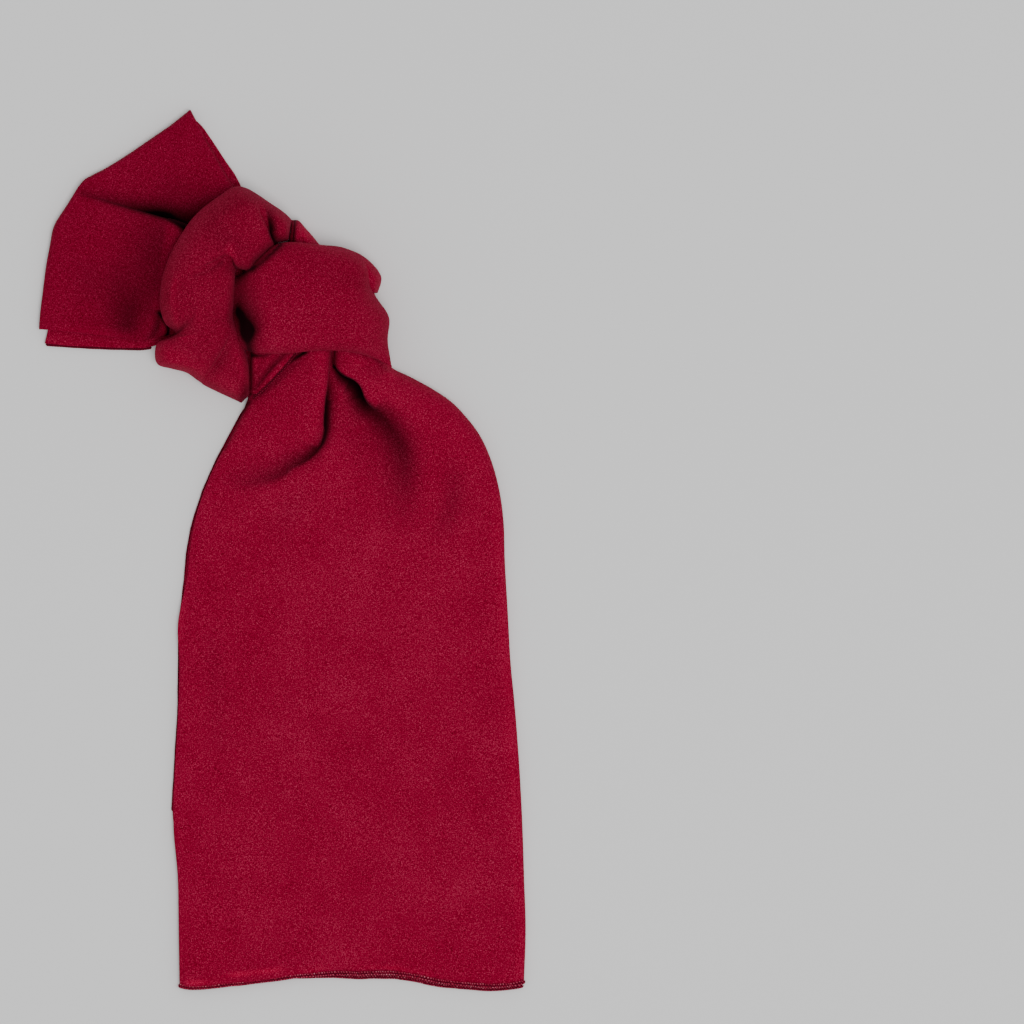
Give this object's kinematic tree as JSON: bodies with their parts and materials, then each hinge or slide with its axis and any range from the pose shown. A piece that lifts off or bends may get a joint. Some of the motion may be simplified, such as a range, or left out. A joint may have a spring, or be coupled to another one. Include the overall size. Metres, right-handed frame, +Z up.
{
  "type": "knotted scarf",
  "caption": "Crepe scarf folded in thirds, tied once in a loose overhand knot and laid flat, with a long and a short tail.",
  "frame": {"origin": "middle of the outline's box, on the surface the scarf lies on", "axes": "+Z up off the surface, +Y from the long tail's hemmed end towards the knot, +X to the side away from the short tail"},
  "size_m": [0.3216, 0.5814, 0.0521],
  "materials": {
    "crepe": "matt crepe with a fine grain",
    "crepe_under": "matt crepe in the shade of the layers over it",
    "hem_thread": "overlock thread, close stitches"
  },
  "bodies": {
    "root": {"long_tail_top": "crepe", "long_tail_inner": "crepe", "long_tail_under": "crepe_under", "long_tail_end_hem": "hem_thread", "long_tail_end_hem_under": "hem_thread", "long_tail_side_hem": "hem_thread", "long_tail_inner_hem": "hem_thread", "short_tail_top": "crepe", "short_tail_under": "crepe_under", "short_tail_hem": "hem_thread", "knot_loop": "crepe", "knot_loop_core": "crepe_under", "knot_wrap": "crepe", "knot_wrap_core": "crepe_under", "knot_tuck": "crepe", "knot_return": "crepe"}
  },
  "joints": []
}
